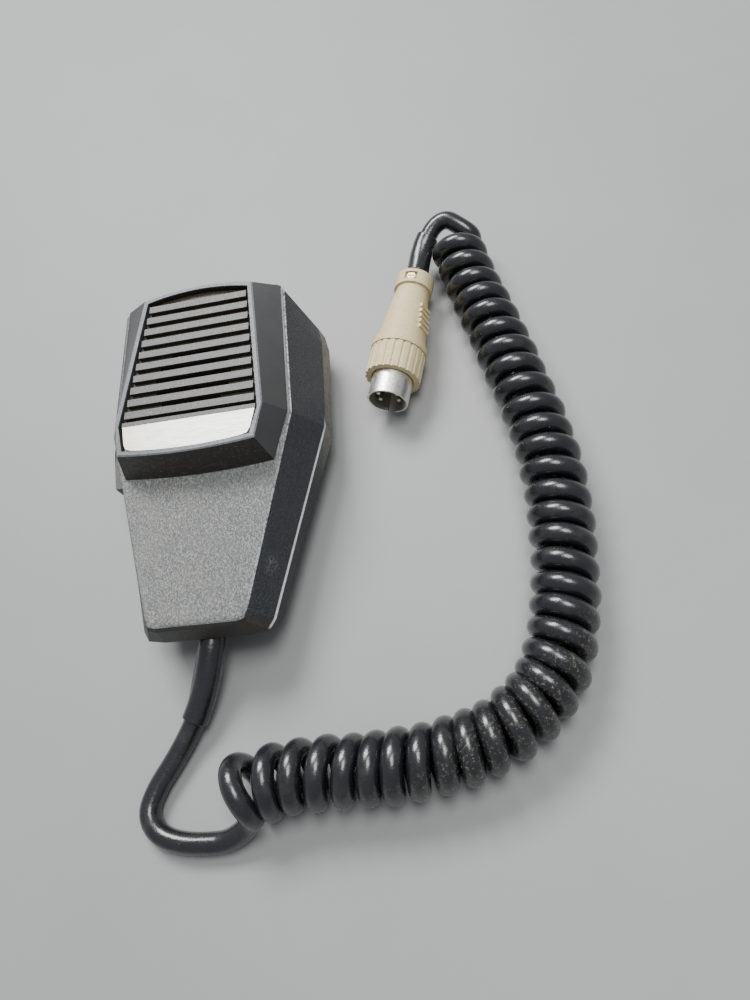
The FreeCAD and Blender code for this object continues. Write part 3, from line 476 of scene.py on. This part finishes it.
def case_material(name):
    """Charcoal ABS front: grained panel in a light grey that is partly dust and partly painted sheen,
    darker sides, smooth head, worn edges and dust.
    """
    paint = Paint(name)
    x, y, z = (paint.axis(k) for k in "XYZ")
    cloud = paint.noise(9.0, 3.0)
    fine = paint.noise(0.6, 3.0)
    grain = leather(paint)

    # Where the head, the panel and what lies below the panel are.
    above = paint.math("SUBTRACT", z, paint.plus(paint.times(y, PANEL_RISE), PANEL_HEIGHT))
    on_head = paint.span(above, 0.05, 0.25)
    on_panel = paint.times(paint.span(above, -0.5, -0.15), paint.span(above, 0.05, 0.25, 1.0, 0.0))
    # On the side strips beside the head, most of the panel's grey (partly painted sheen) is left off.
    ledge_side = paint.times(paint.span(y, -2.0, 7.0), paint.span(paint.math("ABSOLUTE", x), 24.0, 25.5))
    on_panel = paint.times(on_panel, paint.math("SUBTRACT", 1.0, paint.times(ledge_side, 0.9)))
    below = paint.span(above, -0.5, -0.15, 1.0, 0.0)
    right = paint.span(x, -2.0, 2.0)

    side = paint.mix(cloud, (0.016, 0.019, 0.025), (0.030, 0.034, 0.041))
    side = paint.mix(paint.span(grain, 0.45, 0.9, 0.0, 0.6), side, (0.050, 0.054, 0.060))
    foot = paint.times(paint.span(y, -50.5, -52.5), paint.span(cloud, 0.35, 0.6, 0.4, 1.0))
    side = paint.mix(foot, side, (0.042, 0.036, 0.026))

    # The panel's light grey, lighter on the grain's wrinkles, is partly dust and partly a painted sheen
    # of the overhead light.
    panel = paint.mix(paint.span(grain, 0.15, 0.85), (0.120, 0.123, 0.122), (0.290, 0.292, 0.282))
    panel = paint.mix(paint.span(cloud, 0.35, 0.7, 0.0, 0.35), panel, (0.20, 0.205, 0.205))
    stains = paint.span(paint.noise(6.0, 4.0, 0.6), 0.42, 0.62)
    yellowish = paint.times(stains, paint.span(x, 14.0, -16.0))
    panel = paint.mix(paint.times(yellowish, 0.22), panel, (0.34, 0.31, 0.24))
    panel = paint.mix(specks(paint, 0.6, 0.14), panel, (0.46, 0.45, 0.40))

    head = paint.mix(cloud, (0.040, 0.042, 0.044), (0.064, 0.065, 0.066))
    front = paint.span(paint.normal("Y"), -0.55, -0.8)
    dust = paint.span(paint.noise(0.9, 4.0, 0.7), 0.5, 0.7)
    brown = paint.mix(paint.times(dust, 0.8), (0.018, 0.016, 0.013), (0.085, 0.075, 0.052))
    head = paint.mix(front, head, brown)
    rim = paint.mix(paint.noise(3.0, 3.0), (0.060, 0.068, 0.080), (0.105, 0.114, 0.128))
    head = paint.mix(paint.span(z, RIM_TOP - 0.18, RIM_TOP - 0.06), head, rim)

    colour = paint.mix(on_head, side, head)
    colour = paint.mix(on_panel, colour, panel)

    # Worn edges on the panel's edge and the rim's bevel, and a near-white line along the lip above the
    # seam.
    patch = paint.span(paint.noise(0.8, 3.0), 0.34, 0.56)
    ledge = paint.times(paint.span(above, -0.62, -0.3), paint.span(above, -0.12, -0.04, 1.0, 0.0))
    ledge = paint.times(ledge, paint.times(paint.span(y, -51.0, -46.0), right))
    colour = paint.mix(paint.times(ledge, patch), colour, (0.42, 0.43, 0.42))
    lip = paint.times(paint.span(z, SEAM + 0.55, SEAM + 0.85, 1.0, 0.0), paint.span(y, 14.0, 4.0))
    lip = paint.times(paint.times(lip, right), paint.span(y, -53.6, -52.4))
    colour = paint.mix(lip, colour, (0.86, 0.87, 0.88))
    bevel = paint.times(paint.span(z, RIM_TOP - 0.42, RIM_TOP - 0.3),
                        paint.span(z, RIM_TOP - 0.1, RIM_TOP - 0.02, 1.0, 0.0))
    bevel = paint.times(bevel, paint.span(fine, 0.3, 0.6, 0.4, 1.0))
    colour = paint.mix(bevel, colour, (0.20, 0.215, 0.235))

    # Dust over everything, and the scratch.
    colour = paint.mix(paint.times(specks(paint, 0.8, 0.07), 0.8), colour, (0.40, 0.40, 0.37))
    scuffs = paint.span(paint.noise(0.5, 3.0, 0.7, paint.stretch((0.5, 0.5, 2.2))), 0.52, 0.62)
    scratch = paint.times(paint.span(paint.away_from(SCRATCH_PLACE), 1.0, 4.2, 1.0, 0.0), scuffs)
    colour = paint.mix(paint.times(scratch, 0.7), colour, (0.30, 0.31, 0.31))

    rough = paint.plus(paint.span(fine, 0.3, 0.7, 0.36, 0.48), paint.times(on_panel, 0.08))
    depth = paint.times(grain, paint.math("MAXIMUM", on_panel, below))
    depth = paint.plus(depth, paint.times(fine, 0.12))
    return paint.finish(colour, rough, paint.bump(depth, 0.26))


def rear_case_material(name):
    """Charcoal ABS back: leather grain, a tan film of dust along the upper sides."""
    paint = Paint(name)
    y = paint.axis("Y")
    cloud = paint.noise(6.0, 3.0)
    grain = leather(paint)
    colour = paint.mix(cloud, (0.018, 0.020, 0.025), (0.032, 0.034, 0.039))
    colour = paint.mix(paint.span(grain, 0.45, 0.9, 0.0, 0.5), colour, (0.055, 0.056, 0.058))
    film = paint.times(paint.span(y, -12.0, 12.0), paint.span(paint.normal("Z"), 0.0, 0.3))
    film = paint.times(film, paint.span(paint.noise(2.0, 4.0, 0.7), 0.32, 0.62, 0.45, 1.0))
    colour = paint.mix(film, colour, (0.24, 0.225, 0.185))
    foot = paint.times(paint.span(y, -49.0, -52.0), 0.7)
    colour = paint.mix(foot, colour, (0.038, 0.032, 0.024))
    colour = paint.mix(paint.times(specks(paint, 0.8, 0.07), 0.8), colour, (0.45, 0.43, 0.38))
    fine = paint.noise(0.6, 3.0)
    height = paint.plus(grain, paint.times(fine, 0.12))
    return paint.finish(colour, paint.span(fine, 0.3, 0.7, 0.38, 0.52), paint.bump(height, 0.20))


def insert_material(name):
    """Grille insert: grey worn bars with pale grit, brown dust in the slots."""
    paint = Paint(name)
    z = paint.axis("Z")
    top = paint.span(z, BAR_TOP - 0.4, BAR_TOP - 0.2)
    streaks = paint.noise(0.7, 4.0, 0.7, paint.stretch((0.8, 1.2, 1.0)))
    bar = paint.mix(paint.span(streaks, 0.34, 0.68), (0.026, 0.026, 0.026), (0.118, 0.117, 0.110))
    smears = paint.span(paint.noise(7.0, 3.0), 0.5, 0.66)
    bar = paint.mix(paint.times(smears, 0.6), bar, (0.055, 0.06, 0.066))
    low = paint.mix(paint.noise(2.0, 3.0), (0.014, 0.011, 0.008), (0.060, 0.048, 0.030))
    colour = paint.mix(top, low, bar)
    grit = paint.times(specks(paint, 0.55, 0.22), paint.span(z, BAR_TOP - 1.5, BAR_TOP - 0.3, 0.35, 1.0))
    colour = paint.mix(grit, colour, (0.66, 0.64, 0.57))
    rough = paint.span(streaks, 0.3, 0.7, 0.36, 0.55)
    return paint.finish(colour, rough, paint.bump(paint.noise(0.5, 3.0), 0.08))


def nameplate_material(name):
    """Pale brushed metal plate, a little stained at its left end."""
    paint = Paint(name)
    x = paint.axis("X")
    brushed = paint.noise(0.35, 3.0, 0.6, paint.stretch((0.06, 1.4, 1.0)))
    colour = paint.mix(brushed, (0.62, 0.62, 0.59), (0.76, 0.76, 0.73))
    colour = paint.mix(paint.span(paint.noise(4.0, 4.0), 0.5, 0.7, 0.0, 0.35), colour, (0.50, 0.47, 0.38))
    stain = paint.times(paint.span(x, -19.0, -12.0, 1.0, 0.0),
                        paint.span(paint.noise(3.5, 3.0), 0.3, 0.6))
    colour = paint.mix(paint.times(stain, 0.7), colour, (0.70, 0.60, 0.33))
    colour = paint.mix(specks(paint, 1.1, 0.03), colour, (0.25, 0.22, 0.16))
    rough = paint.span(brushed, 0.3, 0.7, 0.28, 0.42)
    return paint.finish(colour, rough, paint.bump(brushed, 0.01), 0.25)


def cord_material(name, dirt=1.0):
    """Glossy black PVC with scuffs, and tan grit low on the outside of the coil's bend."""
    paint = Paint(name)
    x, y, z = (paint.axis(k) for k in "XYZ")
    colour = paint.mix(paint.noise(4.0, 3.0), (0.006, 0.007, 0.009), (0.014, 0.015, 0.017))
    outer = paint.plus(paint.times(x, 0.62), paint.times(y, -0.78))
    corner = paint.times(paint.span(outer, 104.0, 116.0), paint.span(z, 6.0, 12.0))
    lower = paint.times(paint.span(y, -93.0, -99.0), paint.span(x, 20.0, 60.0, 0.0, 0.5))
    place = paint.math("MAXIMUM", corner, lower)
    film = paint.times(place, paint.span(paint.noise(0.9, 4.0, 0.75), 0.54, 0.68))
    film = paint.times(film, 0.6 * dirt)
    haze = paint.times(paint.span(paint.noise(5.0, 4.0, 0.6), 0.52, 0.72), 0.05 * dirt)
    colour = paint.mix(paint.math("ADD", film, haze, clamp=True), colour, (0.30, 0.26, 0.20))
    colour = paint.mix(specks(paint, 1.0, 0.035 * dirt), colour, (0.5, 0.46, 0.38))
    fine = paint.noise(0.5, 3.0)
    rough = paint.plus(paint.span(fine, 0.3, 0.7, 0.22, 0.34), paint.times(film, 0.4))
    scuff = paint.plus(paint.noise(1.6, 3.0), paint.times(fine, 0.12))
    return paint.finish(colour, rough, paint.bump(scuff, 0.10), Specular_IOR_Level=0.5,
                        Coat_Weight=0.5, Coat_Roughness=0.2)


def plug_material(name):
    """Tan moulded plastic with a sandy surface and brown dirt on its grain."""
    paint = Paint(name)
    cloud = paint.noise(3.5, 4.0)
    grit = paint.noise(0.45, 3.0, 0.7)
    colour = paint.mix(cloud, (0.60, 0.485, 0.26), (0.76, 0.645, 0.39))
    colour = paint.mix(paint.span(grit, 0.54, 0.72), colour, (0.33, 0.25, 0.13))
    colour = paint.mix(specks(paint, 0.7, 0.1), colour, (0.8, 0.74, 0.6))
    return paint.finish(colour, paint.span(grit, 0.3, 0.7, 0.45, 0.65), paint.bump(grit, 0.1))


def metal_material(name, light, dark, rough=0.25, grain=0.6, metal=1.0):
    """Metal with fine turning marks and small tarnish spots."""
    paint = Paint(name)
    marks = paint.noise(grain, 4.0, 0.6)
    tarnish = paint.span(paint.noise(2.6, 4.0), 0.52, 0.72)
    colour = paint.mix(paint.times(tarnish, 0.6), light, dark)
    colour = paint.mix(paint.times(marks, 0.25), colour, dark)
    rough = paint.span(marks, 0.3, 0.7, rough * 0.8, rough * 1.5)
    return paint.finish(colour, rough, paint.bump(marks, 0.015), metal)


def plastic_material(name, dark, light, rough=0.45, grain=0.8, depth=0.03):
    """Moulded plastic with slight mottling and a fine surface."""
    paint = Paint(name)
    cloud = paint.noise(grain * 4, 3.0)
    fine = paint.noise(grain * 0.4, 3.0)
    colour = paint.mix(cloud, dark, light)
    rough = paint.span(fine, 0.3, 0.7, rough * 0.85, rough * 1.2)
    return paint.finish(colour, rough, paint.bump(fine, depth))


def cloth_material(name):
    """Fine black woven dust cloth."""
    paint = Paint(name)
    waves = []
    for which in "XY":
        turned = paint.math("SINE", paint.times(paint.axis(which), 14.0))
        waves.append(paint.math("ABSOLUTE", turned))
    weave = paint.times(waves[0], waves[1])
    colour = paint.mix(weave, (0.004, 0.004, 0.005), (0.02, 0.02, 0.022))
    return paint.finish(colour, 0.8, paint.bump(weave, 0.06))


def floor_material():
    """Pale grey floor with the faintest unevenness."""
    paint = Paint("floor")
    cloud = paint.noise(60.0, 4.0)
    colour = paint.mix(cloud, (0.275, 0.28, 0.275), (0.315, 0.32, 0.315))
    return paint.finish(colour, 0.55, paint.bump(paint.noise(1.5, 3.0), 0.02))


def wear(names, material):
    """Gives CAD nodes a material."""
    for name in names:
        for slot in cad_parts[name].material_slots:
            slot.material = material


def dress():
    """Gives the floor, the cord's pieces and the CAD nodes their materials."""
    floor.data.materials.append(floor_material())
    black_cord = cord_material("cord_rubber_look")
    cord.data.materials.append(black_cord)
    clean_cord = cord_material("sleeve_look", 0.4)
    sleeve.data.materials.append(clean_cord)
    plug_sleeve.data.materials.append(clean_cord)
    wear(["front_shell"], case_material("case_look"))
    wear(["back_shell"], rear_case_material("rear_case_look"))
    wear(["grille_insert"], insert_material("grille_look"))
    wear(["nameplate"], nameplate_material("nameplate_look"))
    wear(["plug_shell", "plug_lock_ring", "plug_clamp"], plug_material("plug_look"))
    wear(["plug_barrel"], metal_material("barrel_look", (0.90, 0.89, 0.85), (0.60, 0.57, 0.50), 0.34))
    wear(["plug_pins"], metal_material("contact_look", (0.80, 0.74, 0.58), (0.40, 0.33, 0.2), 0.3))
    wear(["plug_clamp_screw"],
         metal_material("brass_screw_look", (0.62, 0.50, 0.28), (0.25, 0.18, 0.1), 0.35))
    steel = metal_material("steel_look", (0.66, 0.66, 0.66), (0.25, 0.23, 0.2), 0.3)
    wear(["hang_stud", "stud_screw", "stud_nut", "case_screws", "board_screws", "clamp_screws", "ptt_pin",
          "ptt_spring"], steel)
    wear(["ptt_lever"],
         plastic_material("lever_look", (0.010, 0.010, 0.012), (0.022, 0.022, 0.025), 0.35))
    inner = plastic_material("inner_plastic_look", (0.02, 0.02, 0.02), (0.04, 0.04, 0.042))
    wear(["spring_post", "switch_body", "capsule_housing", "cord_clamp", "plug_insulator",
          "capsule_gasket"], inner)
    wear(["switch_plunger", "diaphragm"],
         plastic_material("white_plastic_look", (0.6, 0.58, 0.52), (0.7, 0.68, 0.62)))
    wear(["switch_contacts", "capsule_front", "voice_coil"],
         metal_material("brass_look", (0.72, 0.56, 0.30), (0.35, 0.24, 0.12), 0.35))
    wear(["circuit_board"], plastic_material("board_look", (0.30, 0.20, 0.09), (0.38, 0.27, 0.12), 0.5))
    wear(["board_parts"],
         plastic_material("board_parts_look", (0.25, 0.18, 0.10), (0.45, 0.36, 0.22), 0.4))
    wear(["lead_wires"], plastic_material("wire_look", (0.35, 0.05, 0.04), (0.45, 0.08, 0.06), 0.4))
    wear(["capsule_magnet"], metal_material("magnet_look", (0.35, 0.35, 0.36), (0.15, 0.15, 0.16), 0.4))
    wear(["dust_screen"], cloth_material("cloth_look"))


dress()

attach(cord, "microphone")
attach(sleeve, "microphone")
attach(plug_sleeve, "microphone")
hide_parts("cord_lead_mic", "cord_coil", "cord_lead_plug")
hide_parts("cord_sleeve")
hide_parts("plug_sleeve")
